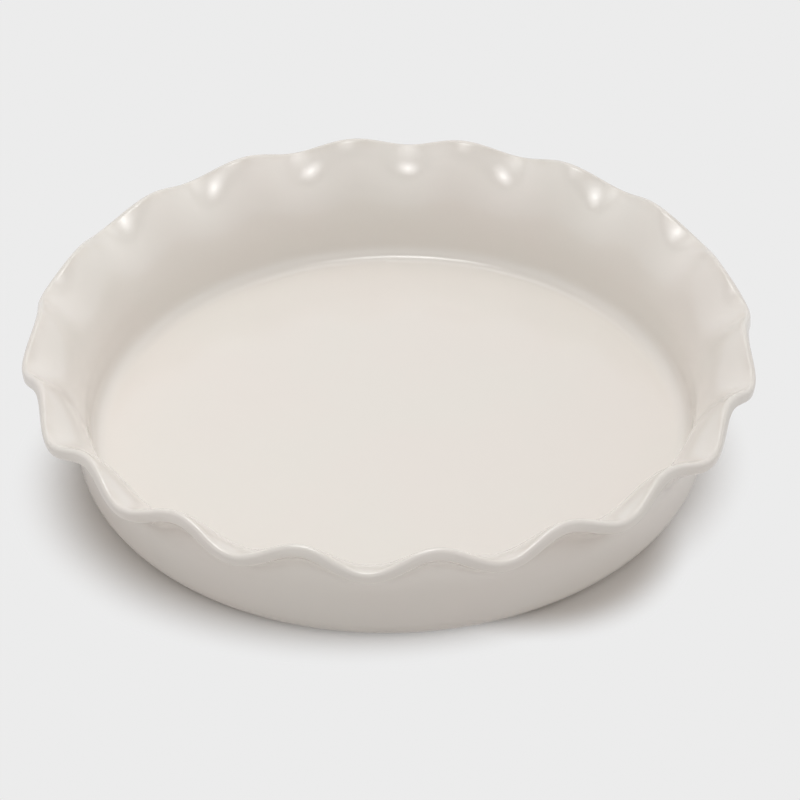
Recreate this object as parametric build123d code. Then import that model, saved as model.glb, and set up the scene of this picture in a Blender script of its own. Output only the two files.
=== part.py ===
from build123d import *
from math import asin, atan2, cos, degrees, pi, radians, sin, tan, tau
import os

# A round, deep pie dish in one piece of glazed stoneware. Its wall stands nearly upright
# on a soft bottom corner and bends outwards in a flare, and the flare rises and dips round
# the rim in even ruffles: each lobe leans out and dips, each ridge between two lobes
# stands up. Lengths are millimetres. The table is at height zero and the dish's axis is Z.

# Rim and ruffle
rim_radius = 130.0              # centre line of the lip, halfway between lobe and ridge
rim_height = 45.7               # the same line above the table
ruffle_count = 18               # lobes round the rim, the first one on the X axis
ruffle_rise = 3.45              # from the centre line to a lobe or a ridge, square to the wall
flare_radius = 32.5             # bend of the flare, at the middle of the wall
flare_lean = radians(58)        # lean of the wall at the lip, from upright

# Wall and lip
wall_lean = radians(4)          # lean of the wall below the flare, from upright
wall_thickness = 5.0
lip_thickness = 4.4
lip_reach = 2.8                 # from the rim's centre line to the upper edge of the lip
lip_setback = 1.9               # how far the lip's lower edge stays behind the upper one
lip_top_round = 1.2             # edge between the lip and the inside of the wall
lip_under_round = 0.9           # edge between the lip and the outside of the wall

# Floor, bottom corner and foot
floor_height = 5.0              # top of the floor, above the table
floor_fillet = 5.0              # inside, where the floor meets the wall
floor_margin = 2.0              # level rim of the floor, next to that fillet
base_round = 8.5                # outside, where the wall turns in to the underside
foot_height = 0.8               # the short step that lifts the underside off the table
foot_inset = 0.4                # from the edge of the underside in to the foot
foot_width = 6.0                # width of the ring that touches the table
foot_recess = 1.5               # depth of the hollow inside the ring
foot_fillet = 1.0               # inside corner of that hollow

# How finely the curves are followed
points_per_ruffle = 8
flare_steps = 7
round_steps = 4

OUTSIDE = 1
INSIDE = -1
STANDING = (Align.CENTER, Align.CENTER, Align.MIN)


def spot(radius, height):
    """A point of the dish's profile, in the XZ plane."""
    return Vector(radius, 0, height)


def leaning(lean):
    """Two directions of a wall that leans by this angle: up along it, and out square to it."""
    return spot(sin(lean), cos(lean)), spot(cos(lean), -sin(lean))


def ring(spots):
    """A closed smooth curve round the axis, through one spot for each equal turn."""
    turn = degrees(tau / len(spots))
    turned = [place.rotate(Axis.Z, index * turn) for index, place in enumerate(spots)]
    even_steps = [step / len(spots) for step in range(len(spots) + 1)]
    return Wire([Edge.make_spline(turned, periodic=True, parameters=even_steps)])


def plain_ring(place):
    """A circle through a spot of the profile, below the ruffle."""
    return ring([place] * (ruffle_count * points_per_ruffle))


def ruffled_ring(lean, out_offset, up_offset=0.0):
    """A ring of the flare where the wall leans by this angle, moved off the wall's middle.

    The ruffle grows from nothing at the knee to its full rise at the lip. The offsets are
    taken square to the ruffled wall and along it, so the wall keeps its thickness."""
    up, out = leaning(lean)
    sideways = Vector(0, 1, 0)
    middle = flare_centre - out * flare_radius
    growth = (lean - wall_lean) / (flare_lean - wall_lean)
    rise = ruffle_rise * growth**2
    rise_slope = ruffle_rise * 2 * growth / (flare_radius * (flare_lean - wall_lean))
    spots = []
    for index in range(ruffle_count * points_per_ruffle):
        phase = tau * index / points_per_ruffle
        slope_up = rise_slope * cos(phase)
        slope_sideways = -rise * ruffle_count * sin(phase) / middle.X
        square = (out - up * slope_up - sideways * slope_sideways).normalized()
        along = (up + out * slope_up).normalized()
        spots.append(middle + out * (rise * cos(phase)) + square * out_offset + along * up_offset)
    return ring(spots)


def wall_radius(height, side):
    """Radius of the straight part of the wall at a height, outside or inside."""
    surface = knee + wall_out * (side * wall_thickness / 2)
    return surface.X + (height - surface.Z) * tan(wall_lean)


def round_centre(level, radius, side):
    """Centre of a round that joins a level plane to one side of the wall above it."""
    height = level + radius
    return spot(wall_radius(height, side) - radius / cos(wall_lean), height)


def round_rings(centre, radius, start, end):
    """Rings over a round in the profile, between two directions from its centre."""
    angles = [start + (end - start) * step / round_steps for step in range(round_steps + 1)]
    return [plain_ring(centre + spot(cos(angle), sin(angle)) * radius) for angle in angles]


def knee_ring(side):
    """The ring where the straight wall ends and the flare begins."""
    return plain_ring(knee + wall_out * (side * wall_thickness / 2))


def flare_rings(side):
    """Rings up one side of the flare, from just above the knee to the lip."""
    rings = []
    for step in range(1, flare_steps + 1):
        growth = step / flare_steps
        lean = wall_lean + (flare_lean - wall_lean) * growth
        thickness = wall_thickness + (lip_thickness - wall_thickness) * growth
        rings.append(ruffled_ring(lean, side * thickness / 2))
    return rings


def lip_edge_rings(side, radius, edge_reach):
    """Rings over one rounded edge of the lip, from the wall's side to the lip's slanting face."""
    slant = atan2(lip_setback, lip_thickness) * side
    centre_out = side * (lip_thickness / 2 - radius)
    centre_up = edge_reach - radius * (1 - sin(slant)) / cos(slant)
    rings = []
    for step in range(round_steps + 1):
        angle = (pi / 2 - slant) * step / round_steps
        out_offset = centre_out + side * radius * cos(angle)
        up_offset = centre_up + radius * sin(angle)
        rings.append(ruffled_ring(flare_lean, out_offset, up_offset))
    return rings


def outer_rings():
    """Rings from the edge of the underside up to the face of the lip."""
    underside = -asin(1 - foot_height / base_round)
    corner = round_rings(base_centre, base_round, underside, -wall_lean)
    lip = lip_edge_rings(OUTSIDE, lip_under_round, lip_reach - lip_setback)
    return corner + [knee_ring(OUTSIDE)] + flare_rings(OUTSIDE) + lip


def inner_rings():
    """Rings from the level rim of the floor up to the face of the lip."""
    centre = round_centre(floor_height, floor_fillet, INSIDE)
    floor_rim = plain_ring(spot(centre.X - floor_margin, floor_height))
    corner = round_rings(centre, floor_fillet, -pi / 2, -wall_lean)
    lip = lip_edge_rings(INSIDE, lip_top_round, lip_reach)
    return [floor_rim] + corner + [knee_ring(INSIDE)] + flare_rings(INSIDE) + lip


def foot():
    """The low disc under the dish, before it is hollowed to a ring."""
    return Cylinder(foot_radius, foot_height, align=STANDING)


def hollow():
    """The shallow hollow inside the foot ring, with a rounded inside corner."""
    disc = Cylinder(foot_radius - foot_width, foot_recess, align=STANDING)
    return fillet(disc.edges().group_by(Axis.Z)[-1], foot_fillet)


def pie_dish():
    """The whole dish: one skin from the underside over the lip to the floor, and the foot."""
    shell = Solid.make_loft(outer_rings() + inner_rings()[::-1])
    return shell + foot() - hollow()


wall_out = leaning(wall_lean)[1]
flare_centre = spot(rim_radius, rim_height) + leaning(flare_lean)[1] * flare_radius
knee = flare_centre - wall_out * flare_radius
base_centre = round_centre(0, base_round, OUTSIDE)
underside_radius = base_centre.X + base_round * cos(asin(1 - foot_height / base_round))
foot_radius = underside_radius - foot_inset

dish = pie_dish()
os.makedirs("parts", exist_ok=True)
export_step(dish, "parts/pie_dish.step")
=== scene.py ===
from math import asin, atan2, cos, hypot, pi, prod, radians, sin, tan, tau

import bmesh
import bpy
from bpy.props import FloatProperty, FloatVectorProperty, IntProperty, PointerProperty
from mathutils import Matrix, Vector


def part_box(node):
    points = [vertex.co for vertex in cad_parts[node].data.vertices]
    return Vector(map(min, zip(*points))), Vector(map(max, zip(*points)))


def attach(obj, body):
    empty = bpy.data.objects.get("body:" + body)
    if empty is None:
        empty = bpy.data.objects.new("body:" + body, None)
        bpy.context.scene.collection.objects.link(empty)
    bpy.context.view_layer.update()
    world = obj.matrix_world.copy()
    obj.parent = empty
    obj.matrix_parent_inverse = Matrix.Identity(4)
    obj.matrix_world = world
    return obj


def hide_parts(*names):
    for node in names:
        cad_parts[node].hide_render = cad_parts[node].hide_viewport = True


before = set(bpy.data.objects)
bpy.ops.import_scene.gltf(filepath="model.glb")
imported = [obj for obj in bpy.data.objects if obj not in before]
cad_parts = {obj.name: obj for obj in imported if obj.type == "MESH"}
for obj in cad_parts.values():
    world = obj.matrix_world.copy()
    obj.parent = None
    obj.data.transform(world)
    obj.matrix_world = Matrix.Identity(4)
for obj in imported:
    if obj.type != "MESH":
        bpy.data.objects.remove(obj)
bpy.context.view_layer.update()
DISH_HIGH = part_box("pie_dish")[1]

bl_info = {
    "name": "Ruffled Pie Dish",
    "version": (1, 0, 0),
    "blender": (4, 5, 0),
    "location": "3D View > Sidebar > Pie Dish",
    "description": "Models a deep stoneware pie dish with a ruffled rim and lays it on a pale table",
    "category": "Add Mesh",
}

MM = 0.001
UP = Vector((0, 0, 1))
FRONT = Vector((0, -1, 0))

# The two sides of the wall
OUTSIDE = 1
INSIDE = -1

# Mesh attribute that marks the lip's edges, where the glaze runs thin
LIP_EDGE = "lip_edge"

# Vertices closer together than this are one
WELD_DISTANCE = 0.01 * MM

# Name, place in millimetres (right, back, up), half the width in millimetres, depth for each
# unit of width, and level
LAMPS = (
    ("ceiling", 0, 850, 1800, 900, 1.0, 0.15),
    ("ceiling middle", 0, 850, 1799, 620, 1.0, 0.073),
    ("ceiling core", 0, 850, 1798, 350, 1.0, 0.024),
    ("softbox", -50, -50, 503, 195, 0.65, 0.105),
    ("softbox middle", -50, -50, 502, 145, 0.65, 0.076),
    ("softbox inner", -50, -50, 501, 100, 0.65, 0.043),
    ("softbox core", -50, -50, 500, 50, 0.65, 0.021),
)

# Soft light from far away: elevation and azimuth in degrees, how narrow it is, and level
GLOWS = (
    (90, 0, 8, 0.66),
    (60, 0, 4, 0.48),
    (30, 135, 4, 0.42),
    (10, 0, 2, 0.2),
    (10, 60, 2, 0.22),
    (10, 90, 2, 0.52),
    (10, -90, 2, 0.73),
    (10, 180, 2, 0.15),
)

# Ovals of the table where the dish's real shadow shows over a painted shade: middle (right, back),
# squash from front to back, and the distances over which the shadow and the painted shade fade out, in
# millimetres
SHADES = (
    (-5, -16, 1.24, 105, 138),
    (45, -70, 1.0, 34, 54),
)


class DishSizes(bpy.types.PropertyGroup):
    """Sizes of the dish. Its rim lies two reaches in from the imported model's box."""

    lobe_reach: FloatProperty(
        name="Lobe reach",
        description="From the lip's centre line out to the widest point of a lobe",
        default=3.63 * MM, unit="LENGTH")
    ridge_reach: FloatProperty(
        name="Ridge reach",
        description="From the lip's centre line up to the highest point of a ridge",
        default=5.52 * MM, unit="LENGTH")
    ruffle_count: IntProperty(
        name="Ruffles", description="Lobes round the rim", default=18, min=3)
    ruffle_rise: FloatProperty(
        name="Ruffle rise",
        description="From the lip's centre line to a lobe or a ridge, square to the wall",
        default=3.45 * MM, unit="LENGTH")
    flare_radius: FloatProperty(
        name="Flare radius", description="Bend of the flare, at the middle of the wall",
        default=32.5 * MM, unit="LENGTH")
    flare_lean: FloatProperty(
        name="Flare lean", description="Lean of the wall at the lip, from upright",
        default=radians(58), unit="ROTATION")
    wall_lean: FloatProperty(
        name="Wall lean", description="Lean of the wall below the flare, from upright",
        default=radians(4), unit="ROTATION")
    wall_thickness: FloatProperty(
        name="Wall", description="Thickness of the wall below the flare",
        default=5 * MM, unit="LENGTH")
    lip_thickness: FloatProperty(
        name="Lip", description="Thickness of the lip", default=4.4 * MM, unit="LENGTH")
    lip_reach: FloatProperty(
        name="Lip reach", description="From the rim's centre line to the upper edge of the lip",
        default=2.8 * MM, unit="LENGTH")
    lip_setback: FloatProperty(
        name="Lip setback", description="How far the lip's lower edge stays behind the upper one",
        default=1.9 * MM, unit="LENGTH")
    lip_top_round: FloatProperty(
        name="Upper lip round", description="Edge between the lip and the inside of the wall",
        default=1.5 * MM, unit="LENGTH")
    lip_under_round: FloatProperty(
        name="Lower lip round", description="Edge between the lip and the outside of the wall",
        default=0.9 * MM, unit="LENGTH")
    floor_height: FloatProperty(
        name="Floor", description="Top of the floor, above the table",
        default=5 * MM, unit="LENGTH")
    floor_fillet: FloatProperty(
        name="Floor fillet",
        description="Inside round where the floor meets the wall, with the glaze that pools there",
        default=6.5 * MM, unit="LENGTH")
    base_round: FloatProperty(
        name="Base round", description="Outside round where the wall turns in to the underside",
        default=8.5 * MM, unit="LENGTH")
    foot_height: FloatProperty(
        name="Foot height", description="Step that lifts the underside off the table",
        default=0.8 * MM, unit="LENGTH")
    foot_inset: FloatProperty(
        name="Foot inset", description="From the edge of the underside in to the foot",
        default=0.4 * MM, unit="LENGTH")
    foot_width: FloatProperty(
        name="Foot width", description="Width of the ring that touches the table",
        default=6 * MM, unit="LENGTH")
    foot_recess: FloatProperty(
        name="Foot recess", description="Depth of the hollow inside the foot ring",
        default=1.5 * MM, unit="LENGTH")
    foot_fillet: FloatProperty(
        name="Foot fillet", description="Inside corner of that hollow",
        default=1 * MM, unit="LENGTH")
    steps_per_ruffle: IntProperty(
        name="Steps", description="Mesh steps round each ruffle", default=36, min=8)


class GlazeFinish(bpy.types.PropertyGroup):
    """Colours and surface of the glaze, and of the bare clay under the foot."""

    glaze_color: FloatVectorProperty(
        name="Glaze", description="Main white of the glaze", subtype="COLOR", size=3,
        default=(0.85, 0.808, 0.752))
    cloud_color: FloatVectorProperty(
        name="Clouds", description="Slightly rosier white that drifts through the glaze",
        subtype="COLOR", size=3, default=(0.856, 0.803, 0.75))
    cloud_width: FloatProperty(
        name="Cloud width", description="Width of one of those clouds",
        default=55 * MM, unit="LENGTH")
    thin_color: FloatVectorProperty(
        name="Thin glaze", description="Glaze that has run thin on the lip's edges",
        subtype="COLOR", size=3, default=(0.74, 0.68, 0.60))
    thin_width: FloatProperty(
        name="Thin width", description="Width of one thin patch along those edges",
        default=9 * MM, unit="LENGTH")
    edge_wear: FloatProperty(
        name="Thinning", description="How much the thin glaze shows on those edges",
        default=0.35, min=0, max=1)
    refraction: FloatProperty(
        name="Refraction", description="Index of refraction of the glaze", default=1.6, min=1)
    gloss_roughness: FloatProperty(
        name="Gloss roughness", description="Roughness of the glaze", default=0.1, min=0, max=1)
    gloss_change: FloatProperty(
        name="Gloss change", description="Share by which that roughness goes up and down",
        default=0.2, min=0, max=1)
    gloss_width: FloatProperty(
        name="Gloss width", description="Width of one rougher or smoother patch",
        default=12 * MM, unit="LENGTH")
    swell: FloatProperty(
        name="Swell", description="Height of the glaze's broad, slow unevenness",
        default=0.035 * MM, unit="LENGTH")
    swell_width: FloatProperty(
        name="Swell width", description="Width of one swell", default=24 * MM, unit="LENGTH")
    dimple: FloatProperty(
        name="Dimples", description="Height of the glaze's fine unevenness",
        default=0.002 * MM, unit="LENGTH")
    dimple_width: FloatProperty(
        name="Dimple width", description="Width of one dimple", default=2.2 * MM, unit="LENGTH")
    clay_color: FloatVectorProperty(
        name="Clay", description="Bare clay of the foot ring", subtype="COLOR", size=3,
        default=(0.60, 0.50, 0.38))
    clay_speck_color: FloatVectorProperty(
        name="Clay grain", description="Darker grain of the bare clay", subtype="COLOR", size=3,
        default=(0.45, 0.36, 0.26))
    clay_speck_width: FloatProperty(
        name="Clay grain width", description="Width of one grain of the clay",
        default=0.8 * MM, unit="LENGTH")
    clay_roughness: FloatProperty(
        name="Clay roughness", description="Roughness of the bare clay",
        default=0.85, min=0, max=1)
    clay_relief: FloatProperty(
        name="Clay relief", description="Height of the clay's grain",
        default=0.05 * MM, unit="LENGTH")
    glaze_line: FloatProperty(
        name="Glaze line", description="Height above the table where the glaze was wiped off",
        default=0.15 * MM, unit="LENGTH")
    glaze_line_softness: FloatProperty(
        name="Glaze line softness", description="Height over which the glaze starts at that line",
        default=0.25 * MM, unit="LENGTH")
    glaze_line_waver: FloatProperty(
        name="Glaze line waver", description="How far that line wanders down",
        default=0.25 * MM, unit="LENGTH")
    glaze_line_wave: FloatProperty(
        name="Glaze line wave", description="Length of one bend of that line",
        default=7 * MM, unit="LENGTH")


class StageSizes(bpy.types.PropertyGroup):
    """The table, the backdrop and the camera."""

    camera_distance: FloatProperty(
        name="Camera distance", description="From the aimed-at point to the camera",
        default=1.0394, unit="LENGTH")
    camera_elevation: FloatProperty(
        name="Camera elevation", description="Height of the view above the horizon",
        default=radians(37.05), unit="ROTATION")
    camera_azimuth: FloatProperty(
        name="Camera azimuth", description="Turn of the view round the dish, away from its front",
        default=radians(-6.43), unit="ROTATION")
    camera_roll: FloatProperty(
        name="Camera roll", description="Tilt of the picture", default=-0.0153, unit="ROTATION")
    camera_lens: FloatProperty(
        name="Lens", description="Focal length on a 36 mm wide sensor",
        default=122.9, unit="CAMERA")
    aim_right: FloatProperty(
        name="Aim right", description="Aimed-at point, to the right of the dish's axis",
        default=3.4 * MM, unit="LENGTH")
    aim_back: FloatProperty(
        name="Aim back", description="Aimed-at point, behind the dish's axis",
        default=21 * MM, unit="LENGTH")
    table_size: FloatProperty(
        name="Table", description="Width of the table", default=6.0, unit="LENGTH")
    table_color: FloatVectorProperty(
        name="Table colour", description="White of the table, as it lights the dish from below",
        subtype="COLOR", size=3, default=(0.9, 0.87, 0.85))
    # Darker, warmer white painted on the table close round the dish: a painted shade that deepens the
    # dish's real shadow there
    painted_shade_color: FloatVectorProperty(
        name="Shade colour", description="White of the table where the dish's shadow shows on it",
        subtype="COLOR", size=3, default=(0.82, 0.785, 0.75))
    backdrop_color: FloatVectorProperty(
        name="Backdrop", description="Plain tone of the backdrop and of the table away from the dish",
        subtype="COLOR", size=3, default=(0.838, 0.838, 0.838))
    ceiling_color: FloatVectorProperty(
        name="Ceiling", description="Plain tone of the darker room above, seen in reflections",
        subtype="COLOR", size=3, default=(0.15, 0.15, 0.15))
    backdrop_top: FloatProperty(
        name="Backdrop top",
        description="Height of the backdrop's upper edge above the horizon, seen from the dish",
        default=radians(40), unit="ROTATION")
    ceiling_start: FloatProperty(
        name="Ceiling start", description="Height above the horizon from where all is ceiling",
        default=radians(52), unit="ROTATION")


def leaning(lean):
    """Directions of a wall that leans by this angle: up along it, and out square to it."""
    return Vector((sin(lean), 0, cos(lean))), Vector((cos(lean), 0, -sin(lean)))


class Profile:
    """The main points of the dish's profile, in the XZ plane."""

    def __init__(self, sizes):
        self.sizes = sizes
        self.wall_out = leaning(sizes.wall_lean)[1]
        self.lip_up, self.lip_out = leaning(sizes.flare_lean)
        rim_radius = DISH_HIGH.x - sizes.lobe_reach
        rim_height = DISH_HIGH.z - sizes.ridge_reach
        self.lip = Vector((rim_radius, 0, rim_height))
        self.flare_centre = self.lip + self.lip_out * sizes.flare_radius
        self.knee = self.flare_centre - self.wall_out * sizes.flare_radius

    def wall_point(self, height, side):
        """Point of the straight part of the wall at a height, outside or inside."""
        surface = self.knee + self.wall_out * (side * self.sizes.wall_thickness / 2)
        rise = height - surface.z
        return surface + Vector((rise * tan(self.sizes.wall_lean), 0, rise))

    def round_centre(self, level, radius, side):
        """Centre of a round that joins a level plane to one side of the wall above it."""
        level_point = self.wall_point(level + radius, side)
        return level_point - Vector((radius / cos(self.sizes.wall_lean), 0, 0))


class Pen:
    """Draws a profile as one chain of mesh edges, out of straight runs and arcs."""

    def __init__(self, mesh, start):
        self.mesh = mesh
        self.tip = bmesh.ops.create_vert(mesh, co=start)["vert"][0]

    def line_to(self, end, steps=1):
        """Draws a straight run to a point, in equal steps."""
        move = (end - self.tip.co) / steps
        for _ in range(steps):
            made = bmesh.ops.extrude_vert_indiv(self.mesh, verts=[self.tip])
            self.tip = made["verts"][0]
            bmesh.ops.translate(self.mesh, verts=[self.tip], vec=move)

    def arc(self, centre, angle, steps, gain=0.0):
        """Turns about a centre and ends further from it by the gain.

        A positive angle climbs on the outer side of the centre."""
        for _ in range(steps):
            made = bmesh.ops.spin(
                self.mesh, geom=[self.tip], cent=centre, axis=FRONT, angle=angle / steps, steps=1)
            self.tip = made["geom_last"][0]
            outward = (self.tip.co - centre).normalized()
            bmesh.ops.translate(self.mesh, verts=[self.tip], vec=outward * gain / steps)


def draw_foot(pen, sizes, profile):
    """The hollow under the dish, the ring round it and the soft bottom corner."""
    base = profile.round_centre(0, sizes.base_round, OUTSIDE)
    dip = asin(1 - sizes.foot_height / sizes.base_round)
    underside_radius = base.x + sizes.base_round * cos(dip)
    foot_outer = underside_radius - sizes.foot_inset
    foot_inner = foot_outer - sizes.foot_width
    corner_radius = foot_inner - sizes.foot_fillet
    pen.line_to(Vector((corner_radius, 0, sizes.foot_recess)), steps=4)
    pen.arc(Vector((corner_radius, 0, sizes.foot_recess - sizes.foot_fillet)), -pi / 2, steps=4)
    pen.line_to(Vector((foot_inner, 0, 0)))
    pen.line_to(Vector((foot_outer, 0, 0)), steps=2)
    pen.line_to(Vector((foot_outer, 0, sizes.foot_height)))
    pen.line_to(Vector((underside_radius, 0, sizes.foot_height)))
    pen.arc(base, dip - sizes.wall_lean, steps=10)


def draw_lip(pen, sizes, profile):
    """The lip's rounded lower edge, its slanting face and its rounded upper edge."""
    half = sizes.lip_thickness / 2
    slant = atan2(sizes.lip_setback, sizes.lip_thickness)
    face = profile.lip_out * sin(slant) + profile.lip_up * cos(slant)
    edges = (
        (OUTSIDE, profile.lip_out, sizes.lip_under_round, sizes.lip_reach - sizes.lip_setback),
        (INSIDE, face, sizes.lip_top_round, sizes.lip_reach),
    )
    for side, start, radius, reach in edges:
        back = radius * (1 - side * sin(slant)) / cos(slant)
        offset = profile.lip_out * side * (half - radius) + profile.lip_up * (reach - back)
        centre = profile.lip + offset
        pen.line_to(centre + start * radius, steps=2)
        pen.arc(centre, pi / 2 - side * slant, steps=6)
    pen.line_to(profile.lip - profile.lip_out * half)


def draw_profile(bm, sizes, profile):
    """The profile from the middle of the underside, over the lip, to the middle of the floor."""
    bend = sizes.flare_lean - sizes.wall_lean
    thinning = (sizes.wall_thickness - sizes.lip_thickness) / 2
    pen = Pen(bm, Vector((0, 0, sizes.foot_recess)))
    draw_foot(pen, sizes, profile)
    pen.line_to(profile.knee + profile.wall_out * (sizes.wall_thickness / 2), steps=8)
    pen.arc(profile.flare_centre, -bend, steps=20, gain=thinning)
    draw_lip(pen, sizes, profile)
    pen.arc(profile.flare_centre, bend, steps=20, gain=thinning)
    corner = profile.round_centre(sizes.floor_height, sizes.floor_fillet, INSIDE)
    pen.line_to(corner + profile.wall_out * sizes.floor_fillet, steps=6)
    pen.arc(corner, sizes.wall_lean - pi / 2, steps=10)
    pen.line_to(Vector((0, 0, sizes.floor_height)), steps=8)


def flattened(place):
    """A place turned about the axis into the XZ plane, where the profile lies."""
    return Vector((hypot(place.x, place.y), 0, place.z))


def ruffle(vertex, sizes, profile):
    """Moves a vertex of the plain round dish to its place in the ruffled rim.

    The ruffle grows from nothing where the flare begins to its full rise at the lip. A
    vertex keeps its distance from the middle of the wall, measured square to the ruffle."""
    turn = atan2(vertex.co.y, vertex.co.x)
    flat = flattened(vertex.co)
    if flat.z < profile.knee.z:
        return
    arm = flat - profile.flare_centre
    lean = min(atan2(arm.z, -arm.x), sizes.flare_lean)
    bend = sizes.flare_lean - sizes.wall_lean
    growth = max(0.0, (lean - sizes.wall_lean) / bend)
    up, out = leaning(lean)
    middle = profile.flare_centre - out * sizes.flare_radius
    offset = flat - middle
    phase = turn * sizes.ruffle_count
    rise = sizes.ruffle_rise * growth**2
    slope_up = sizes.ruffle_rise * 2 * growth / (sizes.flare_radius * bend) * cos(phase)
    slope_round = -rise * sizes.ruffle_count * sin(phase) / middle.x
    square = (out - up * slope_up - Vector((0, slope_round, 0))).normalized()
    along = (up + out * slope_up).normalized()
    moved = middle + out * (rise * cos(phase)) + square * offset.dot(out) + along * offset.dot(up)
    vertex.co = Matrix.Rotation(turn, 3, "Z") @ moved


def lip_edge(vertex, sizes, profile):
    """1 on the lip's rounded edges, less on its face, and 0 from a little way down the wall."""
    offset = flattened(vertex.co) - profile.lip
    across, along = offset.dot(profile.lip_out), offset.dot(profile.lip_up)
    nearness = abs(across) / (sizes.lip_thickness / 2)
    return max(0.0, min(1.0, 1 + along / sizes.lip_reach)) * min(1.0, nearness)**2


def finished(bm, name, material):
    """Writes a mesh out as a smooth object that sits at the origin."""
    bmesh.ops.recalc_face_normals(bm, faces=bm.faces)
    mesh = bpy.data.meshes.new(name)
    bm.to_mesh(mesh)
    bm.free()
    mesh.materials.append(material)
    mesh.shade_smooth()
    piece = bpy.data.objects.new(name, mesh)
    bpy.context.scene.collection.objects.link(piece)
    return piece


def make_dish(sizes, glaze):
    """The dish: its profile spun round the axis, then ruffled."""
    profile = Profile(sizes)
    bm = bmesh.new()
    draw_profile(bm, sizes, profile)
    bmesh.ops.spin(
        bm, geom=bm.verts[:] + bm.edges[:], cent=(0, 0, 0), axis=UP, angle=tau,
        steps=sizes.ruffle_count * sizes.steps_per_ruffle, use_merge=True)
    bmesh.ops.remove_doubles(bm, verts=bm.verts, dist=WELD_DISTANCE)
    edge = bm.verts.layers.float.new(LIP_EDGE)
    for vertex in bm.verts:
        vertex[edge] = lip_edge(vertex, sizes, profile)
        ruffle(vertex, sizes, profile)
    dish = finished(bm, "dish_body", glaze)
    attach(dish, "root")
    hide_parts("pie_dish")


class Wire:
    """An output of a shader node. Arithmetic on it adds Math nodes."""

    def __init__(self, nodes, output):
        self.nodes = nodes
        self.output = output

    def __add__(self, other):
        return self.nodes.math("ADD", self, other)

    def __sub__(self, other):
        return self.nodes.math("SUBTRACT", self, other)

    def __rsub__(self, other):
        return self.nodes.math("SUBTRACT", other, self)

    def __mul__(self, other):
        return self.nodes.math("MULTIPLY", self, other)

    __radd__ = __add__
    __rmul__ = __mul__


class Nodes:
    """The shader nodes of one material or world."""

    def __init__(self, owner):
        owner.use_nodes = True
        self.owner = owner
        self.tree = owner.node_tree
        self.tree.nodes.clear()

    def add(self, kind, settings=None, sockets=None, output=0):
        """Adds a node, sets it up, fills or links its sockets and gives one of its outputs."""
        node = self.tree.nodes.new(kind)
        for name, value in (settings or {}).items():
            setattr(node, name, value)
        for key, value in (sockets or {}).items():
            if isinstance(value, Wire):
                self.tree.links.new(value.output, node.inputs[key])
            else:
                node.inputs[key].default_value = value
        return Wire(self, node.outputs[output]) if node.outputs else None

    def math(self, operation, first, second):
        """One Math node on two values."""
        return self.add("ShaderNodeMath", {"operation": operation}, {0: first, 1: second})

    def vector_math(self, operation, first, second, output="Vector"):
        """One Vector Math node on two places or directions."""
        settings = {"operation": operation}
        return self.add("ShaderNodeVectorMath", settings, {0: first, 1: second}, output)

    def noise(self, place, width, detail):
        """Soft noise from 0 to 1 whose patches are about this wide."""
        sockets = {"Vector": place, "Scale": 1 / width, "Detail": detail}
        return self.add("ShaderNodeTexNoise", sockets=sockets)

    def ramp(self, value, start, end):
        """Rises smoothly from 0 to 1 while the value goes from start to end."""
        sockets = {"Value": value, "From Min": start, "From Max": end}
        return self.add("ShaderNodeMapRange", {"interpolation_type": "SMOOTHSTEP"}, sockets)

    def blend(self, mask, first, second):
        """The first colour where the mask is 0 and the second where it is 1."""
        first, second = (color if isinstance(color, Wire) else (*color, 1) for color in (first, second))
        return self.add("ShaderNodeMix", {"data_type": "RGBA"}, {0: mask, 6: first, 7: second}, output=2)

    def diffuse(self, color):
        """A plain matt shader."""
        return self.add("ShaderNodeBsdfDiffuse", sockets={"Color": (*color, 1)})

    def mix_shaders(self, mask, first, second):
        """The first shader where the mask is 0 and the second where it is 1."""
        return self.add("ShaderNodeMixShader", sockets={0: mask, 1: first, 2: second})

    def finish(self, shader, kind="Material"):
        """Links the shader to the output and gives the finished material or world."""
        self.add(f"ShaderNodeOutput{kind}", sockets={"Surface": shader})
        return self.owner


def glaze_color(nodes, place, glaze):
    """Soft clouds of two whites, and a thinner glaze in patches along the lip's edges."""
    clouds = nodes.ramp(nodes.noise(place, glaze.cloud_width, detail=3.0), start=0.35, end=0.65)
    patches = nodes.ramp(nodes.noise(place, glaze.thin_width, detail=2.0), start=0.2, end=0.8)
    edge = nodes.add("ShaderNodeAttribute", {"attribute_name": LIP_EDGE}, output="Fac")
    white = nodes.blend(clouds, glaze.glaze_color, glaze.cloud_color)
    return nodes.blend(edge * patches * glaze.edge_wear, white, glaze.thin_color)


def bare_clay(nodes, place, glaze):
    """1 on the foot ring below the wavering line where the glaze was wiped off, 0 above it."""
    height = nodes.add("ShaderNodeSeparateXYZ", sockets={"Vector": place}, output="Z")
    wander = nodes.noise(place, glaze.glaze_line_wave, detail=2.0) * glaze.glaze_line_waver
    line_top = glaze.glaze_line + glaze.glaze_line_softness
    return 1 - nodes.ramp(height + wander, glaze.glaze_line, line_top)


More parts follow.
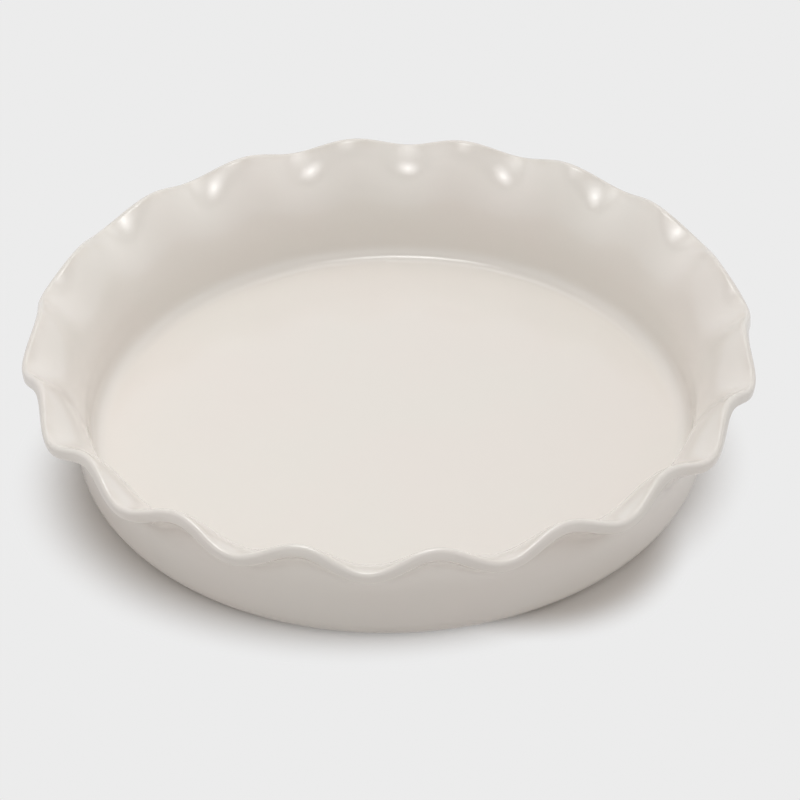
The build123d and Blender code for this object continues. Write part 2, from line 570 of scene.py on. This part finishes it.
def glaze_material(glaze):
    """Glossy off-white glaze with a slight swell, and bare clay on the foot ring."""
    nodes = Nodes(bpy.data.materials.new("white glaze"))
    place = nodes.add("ShaderNodeTexCoord", output="Object")
    bare = bare_clay(nodes, place, glaze)
    grain = nodes.noise(place, glaze.clay_speck_width, detail=4.0)
    specks = nodes.ramp(grain, start=0.3, end=0.7)
    clay = nodes.blend(specks, glaze.clay_color, glaze.clay_speck_color)
    patches = nodes.noise(place, glaze.gloss_width, detail=2.0) * 2 - 1
    gloss = glaze.gloss_roughness * (1 + glaze.gloss_change * patches)
    swell = nodes.noise(place, glaze.swell_width, detail=1.0) * glaze.swell
    dimple = nodes.noise(place, glaze.dimple_width, detail=1.0) * glaze.dimple
    # The relief is in metres, so the bump takes it as it is
    relief = (swell + dimple) * (1 - bare) + grain * bare * glaze.clay_relief
    sockets = {
        "Base Color": nodes.blend(bare, glaze_color(nodes, place, glaze), clay),
        "Roughness": gloss * (1 - bare) + glaze.clay_roughness * bare,
        "Normal": nodes.add("ShaderNodeBump", sockets={"Height": relief, "Distance": 1.0}),
        "IOR": glaze.refraction,
    }
    return nodes.finish(nodes.add("ShaderNodeBsdfPrincipled", sockets=sockets))


def seen_directly(nodes):
    """1 for what the camera, a reflection or clear glass shows, 0 for light that falls on things."""
    camera, glossy, clear = (
        nodes.add("ShaderNodeLightPath", output=f"Is {kind} Ray")
        for kind in ("Camera", "Glossy", "Transmission"))
    return nodes.math("MAXIMUM", nodes.math("MAXIMUM", camera, glossy), clear)


def shade_fade(nodes, place, right, back, squash, start, end):
    """0 in one of the table's ovals of real shadow and painted shade, and 1 from where both have faded
    out.
    """
    oval_place = nodes.vector_math("MULTIPLY", place, (1, squash, 1))
    centre = Vector((right, back * squash, 0)) * MM
    away = nodes.vector_math("DISTANCE", oval_place, centre, "Value")
    return nodes.ramp(away, start * MM, end * MM)


def table_material(stage):
    """White paper that shows the dish's real shadow close round it, with a darker, warmer painted shade
    laid under that shadow, and fades into the plain backdrop.
    """
    nodes = Nodes(bpy.data.materials.new("pale table"))
    place = nodes.add("ShaderNodeTexCoord", output="Object")
    fade = prod(shade_fade(nodes, place, *shade) for shade in SHADES)
    plain = nodes.add("ShaderNodeEmission", sockets={"Color": (*stage.backdrop_color, 1)})
    # Close round the dish the table's colour is the painted shade, under its real shadow; further out it
    # is the plain backdrop
    shown = nodes.mix_shaders(fade, nodes.diffuse(stage.painted_shade_color), plain)
    lit = nodes.diffuse(stage.table_color)
    return nodes.finish(nodes.mix_shaders(seen_directly(nodes), lit, shown))


def place_camera(stage):
    """The camera, at the photograph's height and distance."""
    turn = Matrix.Rotation(stage.camera_azimuth, 3, "Z")
    back = turn @ Vector((0, -cos(stage.camera_elevation), sin(stage.camera_elevation)))
    right = turn @ Vector((1, 0, 0))
    up = back.cross(right)
    aim = turn @ Vector((stage.aim_right, stage.aim_back, 0))
    rolled_right = right * cos(stage.camera_roll) + up * sin(stage.camera_roll)
    rolled_up = up * cos(stage.camera_roll) - right * sin(stage.camera_roll)
    facing = Matrix((rolled_right, rolled_up, back)).transposed().to_4x4()
    data = bpy.data.cameras.new("camera")
    data.lens = stage.camera_lens
    camera = bpy.data.objects.new("camera", data)
    camera.matrix_world = Matrix.Translation(aim + back * stage.camera_distance) @ facing
    bpy.context.scene.collection.objects.link(camera)
    bpy.context.scene.camera = camera


def place_table(stage):
    """The level table, far wider than the picture."""
    bm = bmesh.new()
    bmesh.ops.create_grid(bm, x_segments=1, y_segments=1, size=stage.table_size / 2)
    table = finished(bm, "table", table_material(stage))


def place_lamp(name, place, reach, squash, level):
    """An oval soft lamp that shines straight down.

    The level is the brightness that the lamp alone gives a white sheet laid right under it."""
    data = bpy.data.lights.new(name, "AREA")
    data.shape = "ELLIPSE"
    data.size = reach * 2
    data.size_y = reach * 2 * squash
    data.energy = level * (pi * place.z)**2
    lamp = bpy.data.objects.new(name, data)
    lamp.location = place
    lamp.visible_camera = False
    bpy.context.scene.collection.objects.link(lamp)


def glow(nodes, toward, stage, elevation, azimuth, narrowness, level):
    """Level of one soft far light, for each direction that is looked toward.

    Its azimuth runs from the camera's side of the dish round to the camera's right."""
    turn = Matrix.Rotation(stage.camera_azimuth + radians(azimuth), 3, "Z")
    middle = turn @ Vector((0, -cos(radians(elevation)), sin(radians(elevation))))
    nearness = nodes.math("MAXIMUM", nodes.vector_math("DOT_PRODUCT", toward, middle, "Value"), 0)
    return nodes.math("POWER", nearness, narrowness) * level


def light_world(stage):
    """Soft light from above and from the sides, in front of a plain pale backdrop."""
    world = bpy.data.worlds.new("studio")
    bpy.context.scene.world = world
    nodes = Nodes(world)
    toward = nodes.add("ShaderNodeTexCoord", output="Generated")
    level = sum(glow(nodes, toward, stage, *numbers) for numbers in GLOWS)
    light = nodes.add("ShaderNodeBackground", sockets={"Strength": level})
    rise = nodes.add("ShaderNodeSeparateXYZ", sockets={"Vector": toward}, output="Z")
    above = nodes.ramp(rise, sin(stage.backdrop_top), sin(stage.ceiling_start))
    room = nodes.blend(above, stage.backdrop_color, stage.ceiling_color)
    backdrop = nodes.add("ShaderNodeBackground", sockets={"Color": room})
    nodes.finish(nodes.mix_shaders(seen_directly(nodes), light, backdrop), "World")


class PIEDISH_OT_dish(bpy.types.Operator):
    """Model the dish"""

    bl_idname = "piedish.dish"
    bl_label = "Dish"

    def execute(self, context):
        make_dish(context.scene.dish_sizes, glaze_material(context.scene.glaze_finish))
        return {"FINISHED"}


class PIEDISH_OT_stage(bpy.types.Operator):
    """Set up the table, the lamps and the camera"""

    bl_idname = "piedish.stage"
    bl_label = "Stage"

    def execute(self, context):
        stage = context.scene.stage_sizes
        place_camera(stage)
        place_table(stage)
        light_world(stage)
        for name, right, back, up, reach, squash, level in LAMPS:
            place_lamp(name, Vector((right, back, up)) * MM, reach * MM, squash, level)
        context.scene.view_settings.view_transform = "Standard"
        return {"FINISHED"}


# Name that the scene holds each group of properties under
GROUPS = {"dish_sizes": DishSizes, "glaze_finish": GlazeFinish, "stage_sizes": StageSizes}


class PIEDISH_PT_panel(bpy.types.Panel):
    """Lists the operators, and the sizes and colours that they use"""

    bl_idname = "PIEDISH_PT_panel"
    bl_label = "Pie Dish"
    bl_space_type = "VIEW_3D"
    bl_region_type = "UI"
    bl_category = "Pie Dish"

    def draw(self, context):
        column = self.layout.column()
        column.operator(PIEDISH_OT_dish.bl_idname)
        column.operator(PIEDISH_OT_stage.bl_idname)
        for holder, group in GROUPS.items():
            for name in group.__annotations__:
                column.prop(getattr(context.scene, holder), name)


CLASSES = (*GROUPS.values(), PIEDISH_OT_dish, PIEDISH_OT_stage, PIEDISH_PT_panel)


def register():
    """Adds the classes, and the groups of properties to the scene."""
    for item in CLASSES:
        bpy.utils.register_class(item)
    for holder, group in GROUPS.items():
        setattr(bpy.types.Scene, holder, PointerProperty(type=group))


def unregister():
    """Takes away what register added."""
    for holder in GROUPS:
        delattr(bpy.types.Scene, holder)
    for item in reversed(CLASSES):
        bpy.utils.unregister_class(item)


def main():
    """Makes the dish and its stage."""
    register()
    bpy.ops.piedish.dish()
    bpy.ops.piedish.stage()


if __name__ == "__main__":
    main()
